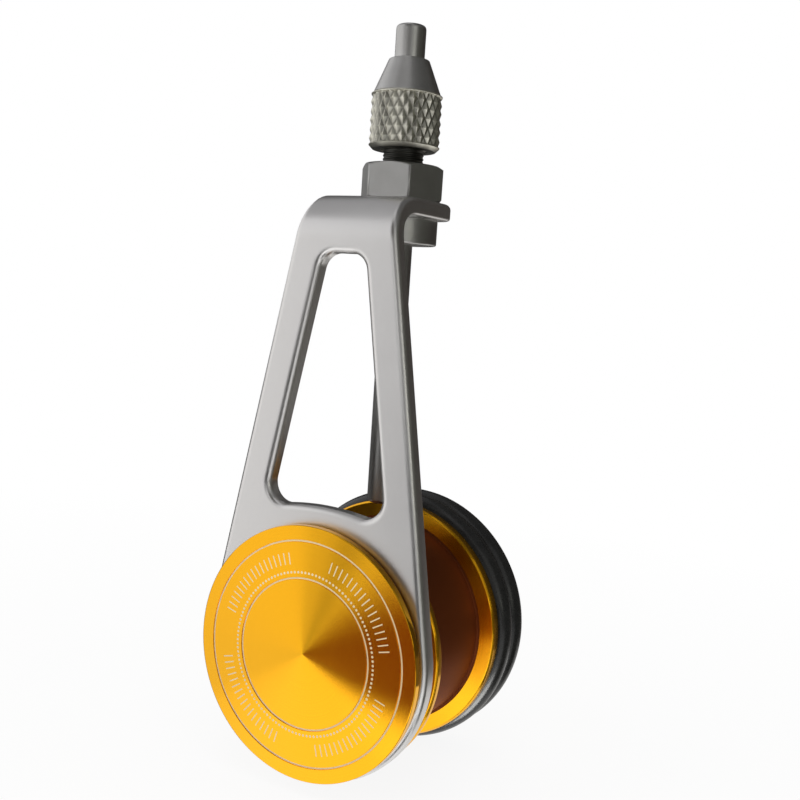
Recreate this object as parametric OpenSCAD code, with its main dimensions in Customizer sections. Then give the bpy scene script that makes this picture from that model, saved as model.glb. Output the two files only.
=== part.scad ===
// Fishing knot tying tool: a bobbin with an adjustable drag on one bent steel arm,
// and a line tube held in a collet nozzle at the arm's top.
// The origin is the centre of the knob's front face, on the axle's axis.
// +Y runs along the axle to the rear, +Z runs up the arm to the nozzle.

/* [Drag knob] */
// Diameter of the knob's disc
knob_d = 32.6; // [28:0.1:34]
// Thickness of the knob's disc
knob_t = 1.2; // [1:0.1:3]
// Chamfer on the disc's two edges
knob_edge = 0.25; // [0.1:0.05:0.5]
// Diameter of the boss that runs in the arm's hole
knob_boss_d = 9; // [8:0.25:10]
// Metal left in front of the boss's blind thread
knob_skin = 0.6; // [0.4:0.1:0.9]
// Distance from the disc's rim in to the outer engraved circle
outer_circle_inset = 1.95; // [1:0.05:3]
// Distance from the outer engraved circle in to the inner one
circle_band = 4.75; // [3:0.05:6]
// Width of an engraved circle
engraving_w = 0.3; // [0.2:0.05:0.5]
// Depth of an engraved circle
engraving_depth = 0.1; // [0.05:0.05:0.2]
// Thickness of the washer under the knob
knob_washer_t = 0.4; // [0.3:0.1:1]
// Width of the ring of that washer
knob_washer_w = 3.4; // [2.5:0.1:5]

/* [Arm] */
// Thickness of the bent plate
plate_t = 2.2; // [1.6:0.1:3]
// Radius of the arm's round lower end
arm_end_r = 16.75; // [16:0.25:19]
// Lean of each side edge of the arm, in degrees
arm_taper = 10.25; // [8:0.25:11.5]
// Height of the tab's top face at the nozzle
tab_z = 58.7; // [54:0.1:66]
// Outer radius of the bend between arm and tab
bend_r = 6; // [4.5:0.25:7]
// Angle by which the tab rises to the rear, in degrees
tab_lift = 2.5; // [0:0.25:5]
// Distance from the arm's front face back to the nozzle's axis
nozzle_reach = 13.2; // [13:0.1:16]
// Length of the tab behind the nozzle's axis
tab_overhang = 4; // [3.8:0.1:7]
// Corner radius of the tab's free end
tab_corner_r = 3.2; // [1:0.1:4]
// Width of the strip beside the window
strip_w = 4.75; // [3.5:0.25:5.5]
// Height of the window's lower edge
window_low = 18.1; // [17:0.1:24]
// Height of the window's upper edge
window_high = 50.6; // [42:0.1:51]
// Radius of the arch that the lower edge makes between its corners
window_arch_r = 37; // [30:1:80]
// Corner radius at the window's lower edge
window_low_r = 2.6; // [1.5:0.1:3]
// Corner radius at the window's upper edge
window_high_r = 2.4; // [1.5:0.1:2.6]

/* [Bobbin] */
// Diameter of the drum that the line winds on
drum_d = 28.8; // [24:0.1:29]
// Width of the groove between the flanges
groove_w = 14.5; // [12:0.5:18]
// Diameter of the near flange
near_flange_d = 33; // [31:0.25:34]
// Thickness of the near flange
near_flange_t = 1.2; // [1:0.1:2]
// Diameter of the far flange's lip
far_lip_d = 34; // [31:0.25:35]
// Thickness of that lip
far_lip_t = 1.5; // [1:0.1:2.5]
// Outside diameter of the grip rings
grip_ring_d = 36.2; // [35.5:0.1:38]
// Cord diameter of the grip rings
grip_cord_d = 3.5; // [2.5:0.1:4]
// Diameter of the rear lip
rear_lip_d = 33.2; // [31:0.2:35]
// Thickness of the rear lip
rear_lip_t = 1.2; // [0.8:0.1:2]
// Chamfer on the flanges' edges
flange_edge = 0.25; // [0.1:0.05:0.4]

/* [Axle and drag] */
// Diameter of the axle
axle_d = 5; // [4:0.25:5.5]
// Width across the two flats at the axle's front end
axle_flats = 4; // [3.2:0.1:4.2]
// Pitch of the axle's thread
axle_pitch = 0.8; // [0.5:0.05:1]
// Turn of the knob from slack to tight, in degrees
drag_turn = 210; // [90:10:240]
// Diameter of the axle's rear head
head_d = 8.8; // [7.6:0.1:9.6]
// Thickness of that head
head_t = 2.4; // [2:0.1:3]
// Width across the flats of the head's hexagon socket
socket_af = 3; // [2.5:0.5:4]
// Depth of that socket
socket_depth = 1.5; // [1:0.1:1.8]
// Depth of the head below the bobbin's rear face
head_sink = 0.4; // [0:0.1:1]
// Thickness of the plate that keys the axle to the arm
key_plate_t = 0.8; // [0.6:0.1:1.5]
// Diameter of the pins that hold the key plate
key_pin_d = 1.5; // [1:0.1:2]
// Metal beside each pin in the arm and the key plate
key_pin_wall = 0.9; // [0.6:0.1:1.5]
// Thickness of a drag washer
drag_washer_t = 0.6; // [0.4:0.1:1.2]
// Outside diameter of a bush's body
bush_d = 7; // [6.8:0.1:8]
// Diameter of a bush's flange
bush_flange_d = 10; // [9.4:0.1:11]
// Thickness of a bush's flange
bush_flange_t = 0.8; // [0.6:0.1:1.2]
// Length of a bush's body
bush_len = 6; // [4:0.5:7]
// Thickness of a disc spring
spring_t = 0.4; // [0.3:0.05:0.6]
// Cone height of a disc spring
spring_cone = 0.3; // [0.2:0.05:0.5]
// Thickness of the washer under the axle's head
rear_washer_t = 1; // [0.6:0.1:1.5]

/* [Nozzle] */
// Diameter of the collar under the tab
collar_d = 10.4; // [9:0.1:11]
// Height of that collar
collar_h = 3.4; // [2:0.1:5]
// Diameter of the nozzle's threaded shank
shank_d = 6; // [5.6:0.1:6.4]
// Width across the flats of the hexagon nut
hex_af = 10; // [9:0.5:11]
// Height of the hexagon nut
hex_h = 4.8; // [3:0.1:6]
// Angle of the chamfer on that nut's corners, in degrees
hex_chamfer = 30; // [15:1:40]
// Turn of the hexagon nut about the nozzle's axis, in degrees
hex_turn = 10; // [0:1:59]
// Height of the neck between the two nuts
neck_h = 2; // [1.5:0.1:4]
// Diameter of the neck
neck_d = 5.5; // [5.2:0.1:5.6]
// Diameter of the collet nut's grip
grip_d = 9.5; // [9:0.1:11]
// Height of that grip
grip_h = 7.35; // [6:0.05:10]
// Chamfer at the grip's lower end
grip_edge = 0.5; // [0.2:0.1:0.8]
// Chamfer between the grip and the nose
shoulder_edge = 0.25; // [0.1:0.05:0.8]
// Height of the conical nose
nose_h = 4.4; // [4:0.05:7]
// Diameter of the nose's tip
nose_d = 5.4; // [5.2:0.1:6.5]
// Metal of the nose above the collet
nose_roof = 0.6; // [0.4:0.1:1]
// Length of the sleeve's thread inside the collet nut
thread_in_nut = 5.3; // [4:0.1:5.8]
// Outside diameter of the line tube
tube_d = 4; // [3.6:0.1:4.2]
// Bore of the line tube
tube_bore = 2.4; // [1.5:0.1:3]
// Length of tube above the nose
tube_above = 4.45; // [2:0.05:10]
// Gap between the tube's lower end and the drum
tube_drum_gap = 3.2; // [3:0.1:8]
// Chamfer round the tube's two ends
tube_edge = 0.5; // [0.1:0.05:0.6]
// Wall of the collet at its tip
collet_tip_w = 0.3; // [0.2:0.05:0.4]
// Height of the collet's closed ring, below its slots
collet_ring_h = 2; // [1:0.1:3]
// Width of the collet's slots
slot_w = 0.5; // [0.3:0.1:0.8]

/* [Clearances] */
// Radial gap between the axle and the bushes, and between threads
run_gap = 0.03; // [0.02:0.01:0.06]
// Radial gap between the knob's boss and the arm's hole
boss_gap = 0.05; // [0.03:0.01:0.1]
// Radial gap between the line tube and what it slides in
tube_gap = 0.04; // [0.03:0.01:0.08]
// Gap between a fixed washer, pin or ring and its seat
seat_gap = 0.02; // [0.01:0.01:0.05]
// Gap between parts that must never rub
free_gap = 0.1; // [0.05:0.01:0.15]
// Radial gap round the springs and washers in the rear recess
recess_gap = 0.6; // [0.4:0.1:1]

/* [Hidden] */
$fn = 96;
// Depth by which a cut passes the face that it starts from
overcut = 1;
// Distance by which a corner's arc stands off the two faces that it blends, so that it crosses them
blend_gap = 0.002;
// Number of flats that make up a bend or a corner
arc_steps = 12;
// Number of flats that make up the arm's round end
end_steps = 64;

// Places along the axle, front to rear
arm_front = knob_t + knob_washer_t;
arm_back = arm_front + plate_t;
boss_end = arm_back - free_gap;
key_back = arm_back + key_plate_t;
bush_front = key_back + drag_washer_t;
front_seat = bush_front + bush_flange_t;
near_front = bush_front + free_gap;
groove_front = near_front + near_flange_t;
groove_back = groove_front + groove_w;
channel_front = groove_back + far_lip_t;
channel_back = channel_front + 2 * grip_cord_d + 3 * free_gap;
bobbin_back = channel_back + rear_lip_t;
head_back = bobbin_back - head_sink;
head_front = head_back - head_t;
rear_washer_front = head_front - rear_washer_t;
spring_stack = 2 * (spring_t + spring_cone) + 3 * seat_gap;
rear_drag_back = rear_washer_front - spring_stack;
rear_drag_front = rear_drag_back - drag_washer_t;
rear_seat = rear_drag_front - bush_flange_t;
axle_travel = axle_pitch * drag_turn / 360;
axle_front = knob_skin + axle_travel + free_gap;
flats_end = key_back + axle_travel + free_gap / 2;

// Radii about the axle
axle_r = axle_d / 2;
boss_r = knob_boss_d / 2;
key_pin_r = key_pin_d / 2;
key_pin_circle = boss_r + boss_gap + key_pin_wall + key_pin_r;
key_plate_r = key_pin_circle + key_pin_r + key_pin_wall;
drag_washer_r = bush_flange_d / 2;
recess_r = bush_flange_d / 2 + recess_gap;
outer_circle_r = knob_d / 2 - outer_circle_inset;
inner_circle_r = outer_circle_r - circle_band;
channel_r = grip_ring_d / 2 - grip_cord_d - seat_gap;

// Places along the nozzle's axis, from the tab's top face
nozzle_y = arm_front + nozzle_reach;
collar_low = -plate_t - collar_h;
grip_low = hex_h + neck_h;
grip_top = grip_low + grip_h;
nose_top = grip_top + nose_h;
tube_top = nose_top + tube_above;
tube_low = (drum_d / 2 + tube_drum_gap - tab_z) / cos(tab_lift);
body_top = grip_low + thread_in_nut;
collet_top = nose_top - nose_roof;

// Places of the bend, whose axis runs along X
bend_y = arm_front + bend_r;
bend_z = tab_z - (bend_r + (nozzle_y - bend_y) * sin(tab_lift)) / cos(tab_lift);
bend_inner_r = bend_r - plate_t;
tab_start_z = bend_z + bend_inner_r * cos(tab_lift);
tab_half = arm_half(tab_start_z);

// Half the arm's width at a height: its edges touch the round lower end
function arm_half(z) = arm_end_r / cos(arm_taper) - z * tan(arm_taper);

// Points of an arc about a centre, from one angle to another
function arc(centre, r, from, to, steps = arc_steps) =
    [for (i = [0:steps]) let(a = from + (to - from) * i / steps) centre + r * [cos(a), sin(a)]];

// Centre of a corner arc that touches the window's side edge, at a height
function corner_centre(r, z) =
    [((arm_half(0) - strip_w) * cos(arm_taper) - r - z * sin(arm_taper)) / cos(arm_taper), z];

// The same points with X turned round, in the opposite order
function flip_x(points) = [for (i = [len(points) - 1:-1:0]) [-points[i][0], points[i][1]]];

// Turns a profile of [radius, place] points about the axle's axis
module about_axle(points) {
    rotate([-90, 0, 0])
        rotate_extrude()
            polygon(points);
}

// Puts a shape drawn along Z onto the nozzle's axis, with its zero at the tab's top face
module on_nozzle() {
    translate([0, nozzle_y, tab_z])
        rotate([tab_lift, 0, 0])
            children();
}

// A flat ring about the axle
module axle_ring(outer_r, inner_r, from, to) {
    about_axle([[inner_r, from], [outer_r, from], [outer_r, to], [inner_r, to]]);
}

// A rod along the axle's direction, away from the axis by an offset in X
module rod_y(r, from, to, x = 0) {
    translate([x, from, 0])
        rotate([-90, 0, 0])
            cylinder(r = r, h = to - from);
}

// A round rod with two flats that face along X
module flatted_rod(r, flats, from, to) {
    intersection() {
        rod_y(r, from, to);
        translate([-flats / 2, from, -r - overcut])
            cube([flats, to - from, 2 * r + 2 * overcut]);
    }
}

// Side view of the bent plate, in depth and height
module plate_profile() {
    bend = [bend_y, bend_z];
    tab_end = [nozzle_y, tab_z] + tab_overhang * [cos(tab_lift), sin(tab_lift)];
    polygon(concat(
        [[arm_back, -arm_end_r - overcut], [arm_front, -arm_end_r - overcut]],
        arc(bend, bend_r, 180, 90 + tab_lift),
        [tab_end, tab_end + plate_t * [sin(tab_lift), -cos(tab_lift)]],
        arc(bend, bend_inner_r, 90 + tab_lift, 180)
    ));
}

// Front view of the plate: a round lower end, two leaning edges, and upright sides at the tab
module arm_outline() {
    polygon(concat(
        [[-tab_half, tab_z + bend_r], [-tab_half, tab_start_z]],
        arc([0, 0], arm_end_r, 180 - arm_taper, 360 + arm_taper, end_steps),
        [[tab_half, tab_start_z], [tab_half, tab_z + bend_r]]
    ));
}

// Front view of the window: four round corners and an arched lower edge
module window_outline() {
    low = corner_centre(window_low_r, window_low + window_low_r);
    high = corner_centre(window_high_r, window_high - window_high_r);
    right = concat(arc(low, window_low_r, -90, arm_taper), arc(high, window_high_r, arm_taper, 90));
    half_arch = asin(low[0] / window_arch_r);
    arch_centre = [0, window_low - window_arch_r * cos(half_arch)];
    arch = arc(arch_centre, window_arch_r, 90 + half_arch, 90 - half_arch);
    polygon(concat(right, flip_x(right), [for (i = [1:arc_steps - 1]) arch[i]]));
}

// Cuts the tab's free end round at one corner
module tab_corner_cut() {
    centre = [tab_half - tab_corner_r + blend_gap, tab_overhang - tab_corner_r + blend_gap];
    far = [tab_half + overcut, tab_overhang + overcut];
    translate([0, 0, -plate_t - overcut])
        linear_extrude(plate_t + 2 * overcut)
            polygon(concat([far, [far[0], centre[1]]], arc(centre, tab_corner_r, 0, 90), [[centre[0], far[1]]]));
}

// Bent plate with the window, the boss's hole, two pin holes and the nozzle's hole
module frame_arm() {
    color("lightgray")
    difference() {
        intersection() {
            translate([-arm_end_r - overcut, 0, 0])
                rotate([90, 0, 90])
                    linear_extrude(2 * (arm_end_r + overcut))
                        plate_profile();
            translate([0, nozzle_y + tab_overhang + overcut, 0])
                rotate([90, 0, 0])
                    linear_extrude(nozzle_y + tab_overhang + overcut)
                        arm_outline();
        }
        translate([0, arm_back + overcut, 0])
            rotate([90, 0, 0])
                linear_extrude(plate_t + 2 * overcut)
                    window_outline();
        rod_y(boss_r + boss_gap, arm_front - overcut, arm_back + overcut);
        for (side = [-1, 1])
            rod_y(key_pin_r + seat_gap, arm_front - overcut, arm_back + overcut, side * key_pin_circle);
        on_nozzle()
            translate([0, 0, -plate_t - overcut])
                cylinder(d = shank_d + 2 * free_gap, h = plate_t + 2 * overcut);
        for (side = [0, 1])
            on_nozzle()
                mirror([side, 0, 0])
                    tab_corner_cut();
    }
}

// Threaded sleeve through the tab, with a collar below and a relieved neck above the hexagon nut
module nozzle_body() {
    color("gray")
    on_nozzle()
        rotate_extrude()
            polygon([[tube_d / 2 + tube_gap, collar_low], [collar_d / 2, collar_low], [collar_d / 2, -plate_t],
                     [shank_d / 2, -plate_t], [shank_d / 2, hex_h], [neck_d / 2, hex_h],
                     [neck_d / 2, grip_low], [shank_d / 2, grip_low + free_gap], [shank_d / 2, body_top],
                     [tube_d / 2 + tube_gap, body_top]]);
}

// Hexagon nut with chamfered corners at both ends, which clamps the sleeve to the tab
module hex_nut() {
    corner_r = hex_af / sqrt(3);
    chamfer = (corner_r - hex_af / 2) * tan(hex_chamfer);
    color("darkgray")
    on_nozzle()
        difference() {
            intersection() {
                rotate(hex_turn)
                    cylinder(r = corner_r, h = hex_h, $fn = 6);
                rotate_extrude()
                    polygon([[0, 0], [hex_af / 2, 0], [corner_r, chamfer], [corner_r, hex_h - chamfer],
                             [hex_af / 2, hex_h], [0, hex_h]]);
            }
            translate([0, 0, -overcut])
                cylinder(d = shank_d + 2 * run_gap, h = hex_h + 2 * overcut);
        }
}

// Radius of the nut's inner cone at a height along the nozzle's axis
function cone_r(z) =
    let(low_r = shank_d / 2 + run_gap, top_r = tube_d / 2 + tube_gap + collet_tip_w + free_gap)
    low_r + (top_r - low_r) * (z - body_top) / (collet_top - body_top);

// Split cone that grips the line tube when the nut draws it down on the sleeve
module collet() {
    low = body_top + free_gap;
    high = collet_top - free_gap;
    color("goldenrod")
    on_nozzle()
        difference() {
            rotate_extrude()
                polygon([[tube_d / 2 + tube_gap, low], [cone_r(low) - free_gap, low],
                         [cone_r(high) - free_gap, high], [tube_d / 2 + tube_gap, high]]);
            for (turn = [0, 90])
                rotate(turn)
                    translate([-shank_d / 2, -slot_w / 2, low + collet_ring_h])
                        cube([shank_d, slot_w, high]);
        }
}

// Nut with a round grip below and a conical nose above, hollow for the thread and the collet
module collet_nut() {
    color("silver")
    on_nozzle()
        rotate_extrude()
            polygon([[shank_d / 2 + run_gap, grip_low], [grip_d / 2 - grip_edge, grip_low],
                     [grip_d / 2, grip_low + grip_edge], [grip_d / 2, grip_top - shoulder_edge],
                     [grip_d / 2 - shoulder_edge, grip_top], [nose_d / 2, nose_top],
                     [tube_d / 2 + tube_gap + free_gap, nose_top],
                     [tube_d / 2 + tube_gap + free_gap, collet_top], [cone_r(collet_top), collet_top],
                     [cone_r(body_top), body_top]]);
}

// Straight tube that the line runs through, from above the drum to beyond the nose
module line_tube() {
    color("gainsboro")
    on_nozzle()
        rotate_extrude()
            polygon([[tube_bore / 2, tube_low], [tube_d / 2 - tube_edge, tube_low],
                     [tube_d / 2, tube_low + tube_edge], [tube_d / 2, tube_top - tube_edge],
                     [tube_d / 2 - tube_edge, tube_top], [tube_bore / 2, tube_top]]);
}

// One engraved circle on the knob's face, as profile points
function engraving(r) = [[r - engraving_w / 2, 0], [r - engraving_w / 2, engraving_depth],
                         [r + engraving_w / 2, engraving_depth], [r + engraving_w / 2, 0]];

// Disc with two engraved circles in front, and a boss with a blind thread behind
module drag_knob() {
    color("orange")
    about_axle(concat(
        [[0, 0]], engraving(inner_circle_r), engraving(outer_circle_r),
        [[knob_d / 2 - knob_edge, 0], [knob_d / 2, knob_edge], [knob_d / 2, knob_t - knob_edge],
         [knob_d / 2 - knob_edge, knob_t], [boss_r, knob_t], [boss_r, boss_end],
         [axle_r + run_gap, boss_end], [axle_r + run_gap, knob_skin], [0, knob_skin]]
    ));
}

// Thin slip washer between the knob and the arm
module knob_washer() {
    color("ivory")
    axle_ring(boss_r + free_gap + knob_washer_w, boss_r + free_gap, knob_t, arm_front);
}

// Plate with a flatted hole that lets the axle slide but not turn
module key_plate() {
    color("lightslategray")
    difference() {
        rod_y(key_plate_r, arm_back, key_back);
        flatted_rod(axle_r + run_gap, axle_flats + 2 * run_gap, arm_back - overcut, key_back + overcut);
        for (side = [-1, 1])
            rod_y(key_pin_r + seat_gap, arm_back - overcut, key_back + overcut, side * key_pin_circle);
    }
}

// Two pins that hold the key plate to the arm
module key_pins() {
    color("dimgray")
    for (side = [-1, 1])
        rod_y(key_pin_r, arm_front + free_gap, key_back - seat_gap, side * key_pin_circle);
}

// Friction washer between the key plate and the front bush
module front_drag_washer() {
    color("sienna")
    axle_ring(drag_washer_r, axle_r + free_gap, key_back, bush_front);
}

// Friction washer between the rear bush and the springs
module rear_drag_washer() {
    color("sienna")
    axle_ring(drag_washer_r, axle_r + free_gap, rear_drag_front, rear_drag_back);
}

// Two coned disc springs, rim to rim
module disc_springs() {
    inner_r = axle_r + free_gap;
    front = rear_drag_back + seat_gap;
    middle = front + spring_cone + spring_t + seat_gap;
    color("slategray") {
        about_axle([[inner_r, front], [drag_washer_r, front + spring_cone],
                    [drag_washer_r, front + spring_cone + spring_t], [inner_r, front + spring_t]]);
        about_axle([[drag_washer_r, middle], [inner_r, middle + spring_cone],
                    [inner_r, middle + spring_cone + spring_t], [drag_washer_r, middle + spring_t]]);
    }
}

// Washer between the springs and the axle's head
module rear_washer() {
    color("silver")
    axle_ring(drag_washer_r, axle_r + seat_gap, rear_washer_front, head_front);
}

// Shaft with a flatted, threaded front end and a head with a hexagon socket
module axle() {
    color("silver")
    difference() {
        about_axle([[0, axle_front], [axle_r, axle_front], [axle_r, head_front],
                    [head_d / 2, head_front], [head_d / 2, head_back], [0, head_back]]);
        for (side = [0, 1])
            mirror([side, 0, 0])
                translate([axle_flats / 2, axle_front - overcut, -axle_r - overcut])
                    cube([axle_r, flats_end - axle_front + overcut, 2 * (axle_r + overcut)]);
        translate([0, head_back - socket_depth, 0])
            rotate([-90, 0, 0])
                cylinder(d = socket_af * 2 / sqrt(3), h = socket_depth + overcut, $fn = 6);
    }
}

// Spool with a near flange, a drum, a far lip and a channel for the grip rings
module bobbin() {
    near_r = near_flange_d / 2;
    lip_r = far_lip_d / 2;
    rear_r = rear_lip_d / 2;
    front_recess_r = bush_flange_d / 2 + free_gap;
    color("orange")
    about_axle([
        [front_recess_r, near_front], [near_r - flange_edge, near_front], [near_r, near_front + flange_edge],
        [near_r, groove_front - flange_edge], [near_r - flange_edge, groove_front],
        [drum_d / 2, groove_front], [drum_d / 2, groove_back],
        [lip_r - flange_edge, groove_back], [lip_r, groove_back + flange_edge], [lip_r, channel_front],
        [channel_r, channel_front], [channel_r, channel_back], [rear_r, channel_back],
        [rear_r, bobbin_back - flange_edge], [rear_r - flange_edge, bobbin_back], [recess_r, bobbin_back],
        [recess_r, rear_seat], [bush_d / 2 + seat_gap, rear_seat], [bush_d / 2 + seat_gap, front_seat],
        [front_recess_r, front_seat]
    ]);
}

// Flanged bush: a body inside the bobbin and a flange on the side that the drag presses
module flanged_bush(flange_face, seat, body_end) {
    color("wheat")
    about_axle([[axle_r + run_gap, flange_face], [bush_flange_d / 2, flange_face], [bush_flange_d / 2, seat],
                [bush_d / 2, seat], [bush_d / 2, body_end], [axle_r + run_gap, body_end]]);
}

// Bush at the bobbin's front face
module front_bush() {
    flanged_bush(bush_front, front_seat, front_seat + bush_len);
}

// Bush in the bobbin's rear recess
module rear_bush() {
    flanged_bush(rear_drag_front, rear_seat, rear_seat - bush_len);
}

// One grip ring, at a place along the axle
module grip_ring(y) {
    color("black")
    rotate([-90, 0, 0])
        translate([0, 0, y])
            rotate_extrude()
                translate([grip_ring_d / 2 - grip_cord_d / 2, 0])
                    circle(d = grip_cord_d);
}

// Grip ring beside the far lip
module grip_ring_front() {
    grip_ring(channel_front + free_gap + grip_cord_d / 2);
}

// Grip ring beside the rear lip
module grip_ring_rear() {
    grip_ring(channel_back - free_gap - grip_cord_d / 2);
}

frame_arm();
nozzle_body();
hex_nut();
collet();
collet_nut();
line_tube();
drag_knob();
knob_washer();
key_plate();
key_pins();
axle();
front_drag_washer();
bobbin();
front_bush();
rear_bush();
grip_ring_front();
grip_ring_rear();
rear_drag_washer();
disc_springs();
rear_washer();
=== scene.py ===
import math

import bmesh
import bpy
import numpy as np
from mathutils import Matrix, Quaternion, Vector
from mathutils.geometry import delaunay_2d_cdt


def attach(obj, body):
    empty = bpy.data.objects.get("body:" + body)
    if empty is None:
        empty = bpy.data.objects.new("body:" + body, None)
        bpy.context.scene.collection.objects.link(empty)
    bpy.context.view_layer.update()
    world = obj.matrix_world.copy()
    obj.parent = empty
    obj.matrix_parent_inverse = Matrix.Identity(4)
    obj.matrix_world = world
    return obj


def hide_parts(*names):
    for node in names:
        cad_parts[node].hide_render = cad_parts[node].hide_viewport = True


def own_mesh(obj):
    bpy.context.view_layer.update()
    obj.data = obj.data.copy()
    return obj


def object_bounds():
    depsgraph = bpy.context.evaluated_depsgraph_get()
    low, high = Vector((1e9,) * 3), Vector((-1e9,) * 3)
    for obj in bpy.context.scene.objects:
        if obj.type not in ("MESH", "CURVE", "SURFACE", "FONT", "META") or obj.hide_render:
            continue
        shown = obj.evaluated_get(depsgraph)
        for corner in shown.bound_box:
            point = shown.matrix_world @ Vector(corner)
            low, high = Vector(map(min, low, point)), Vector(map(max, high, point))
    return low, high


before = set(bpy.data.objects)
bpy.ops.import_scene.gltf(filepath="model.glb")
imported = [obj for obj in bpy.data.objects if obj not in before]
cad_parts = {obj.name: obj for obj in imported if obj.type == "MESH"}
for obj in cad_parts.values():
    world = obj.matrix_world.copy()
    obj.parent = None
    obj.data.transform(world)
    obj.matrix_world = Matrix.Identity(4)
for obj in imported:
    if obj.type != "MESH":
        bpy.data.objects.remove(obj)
cad_low, cad_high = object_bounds()

# The view: a camera close to the tool, a little above the knob and to its right, and slightly tipped.
# Being so close, it shows the knob much larger than the rings behind it. Sizes here are in millimetres.
MM = 0.001
camera_turn = math.radians(29.158)
camera_rise = math.radians(4.442)
camera_tip = math.radians(4.985)
camera_distance = 114.97
camera_target = Vector((9.96, 1.6, 33.37))
camera_lens = 43.17
camera_nearest = 2
level = math.cos(camera_rise)
camera_back = Vector((math.sin(camera_turn) * level, -math.cos(camera_turn) * level, math.sin(camera_rise)))
camera_side = Vector((math.cos(camera_turn), math.sin(camera_turn), 0))
camera_side.rotate(Quaternion(camera_back, camera_tip))
camera_up = camera_back.cross(camera_side)
camera_data = bpy.data.cameras.new("camera")
camera_data.lens = camera_lens
camera_data.clip_start = camera_nearest * MM
camera = bpy.data.objects.new("camera", camera_data)
camera_axes = Matrix((camera_side, camera_up, camera_back)).transposed().to_4x4()
camera_place = (camera_target + camera_back * camera_distance) * MM
camera.matrix_world = Matrix.Translation(camera_place) @ camera_axes
bpy.context.scene.collection.objects.link(camera)
bpy.context.scene.camera = camera
bpy.context.scene.view_settings.view_transform = "Standard"


# The studio: a pale floor, a white surround, two soft lamps, and curved cards that only mirrored rays see.
# Metal shows little but what it mirrors, so each card lies where one of the tool's faces mirrors it:
# bright ones at the left and below, grey ones in front and dark ones at the right and behind.
def feed(tree, node, inputs):
    """Sets a node's inputs to values, or links them to other nodes' sockets."""
    for key, value in inputs.items():
        if isinstance(value, bpy.types.NodeSocket):
            tree.links.new(value, node.inputs[key])
        else:
            node.inputs[key].default_value = value


def add_node(tree, kind, inputs=None, **settings):
    """Adds a shader node with its settings, and feeds its inputs."""
    node = tree.nodes.new(kind)
    for key, value in settings.items():
        setattr(node, key, value)
    feed(tree, node, inputs or {})
    return node


def math_node(tree, operation, *values):
    """A Math node's result for up to three numbers or sockets."""
    return add_node(tree, "ShaderNodeMath", dict(enumerate(values)), operation=operation).outputs[0]


def mapped(tree, value, low, high, start=0.0, end=1.0):
    """Maps a value that runs from start to end onto low to high, and holds it between these."""
    inputs = {"Value": value, "From Min": start, "From Max": end, "To Min": low, "To Max": high}
    return add_node(tree, "ShaderNodeMapRange", inputs).outputs[0]


def object_place(tree):
    """The place on a piece, in metres in the piece's own frame."""
    return add_node(tree, "ShaderNodeTexCoord").outputs["Object"]


def seen_directly(tree):
    """1 for rays from the camera and for mirrored or refracted rays, and 0 for light that falls on things."""
    path = add_node(tree, "ShaderNodeLightPath").outputs
    mirrored = math_node(tree, "MAXIMUM", path["Is Camera Ray"], path["Is Glossy Ray"])
    return math_node(tree, "MAXIMUM", mirrored, path["Is Transmission Ray"])


white = (1, 1, 1, 1)
surround_light = 0.75
surround_seen = 1.0
world = bpy.data.worlds.new("white surround")
world.use_nodes = True
bpy.context.scene.world = world
surround_level = mapped(world.node_tree, seen_directly(world.node_tree), surround_light, surround_seen)
feed(world.node_tree, world.node_tree.nodes["Background"], {"Color": white, "Strength": surround_level})


def studio_sheet(name, points, faces):
    """A sheet that belongs to the studio and not to the tool. Its points are in millimetres."""
    mesh = bpy.data.meshes.new(name)
    mesh.from_pydata([Vector(p) * MM for p in points], [], faces)
    sheet = bpy.data.objects.new(name, mesh)
    bpy.context.scene.collection.objects.link(sheet)
    material = bpy.data.materials.new(name)
    material.use_nodes = True
    mesh.materials.append(material)
    return sheet, material.node_tree


# The floor glows for the camera, fully from floor_far outwards, so that it meets the surround unseen.
floor_half = 3000
floor_gap = 0.2
floor_near = 60
floor_far = 200
floor_near_glow = 0.9
floor_colour = (0.92, 0.92, 0.91, 1)
floor_rough = 0.7
floor_z = cad_low.z / MM - floor_gap
floor_signs = ((-1, -1), (1, -1), (1, 1), (-1, 1))
floor_corners = [(x * floor_half, y * floor_half, floor_z) for x, y in floor_signs]
floor, floor_tree = studio_sheet("floor", floor_corners, [(0, 1, 2, 3)])
floor_shader = floor_tree.nodes["Principled BSDF"]
feed(floor_tree, floor_shader, {"Base Color": floor_colour, "Roughness": floor_rough})
floor_glow = add_node(floor_tree, "ShaderNodeEmission", {"Color": white, "Strength": 1.0})
floor_reach = add_node(floor_tree, "ShaderNodeVectorMath", {0: object_place(floor_tree)}, operation="LENGTH")
floor_white = mapped(floor_tree, floor_reach.outputs["Value"], floor_near_glow, 1.0,
                     start=floor_near * MM, end=floor_far * MM)
floor_share = math_node(floor_tree, "MULTIPLY", seen_directly(floor_tree), floor_white)
floor_mix = add_node(floor_tree, "ShaderNodeMixShader",
                     {0: floor_share, 1: floor_shader.outputs[0], 2: floor_glow.outputs[0]})
feed(floor_tree, floor_tree.nodes["Material Output"], {"Surface": floor_mix.outputs[0]})
floor.visible_glossy = False


def grid(rows, columns, rows_closed=False, columns_closed=False):
    """Four-cornered faces of a grid whose points run row by row, and the place of each corner on the grid.
    Where rows or columns are closed, the last joins the first."""
    r, c = np.meshgrid(np.arange(rows if rows_closed else rows - 1),
                       np.arange(columns if columns_closed else columns - 1), indexing="ij")
    corner_r = np.stack([r, r, r + 1, r + 1], axis=-1).reshape(-1, 4)
    corner_c = np.stack([c, c + 1, c + 1, c], axis=-1).reshape(-1, 4)
    faces = corner_r % rows * columns + corner_c % columns
    return faces, np.stack([corner_c / columns, corner_r / rows], axis=-1)


def mirrored_only(sheet):
    """Leaves a sheet to mirrored rays alone."""
    sheet.visible_camera = False
    sheet.visible_diffuse = False
    sheet.visible_shadow = False


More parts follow.
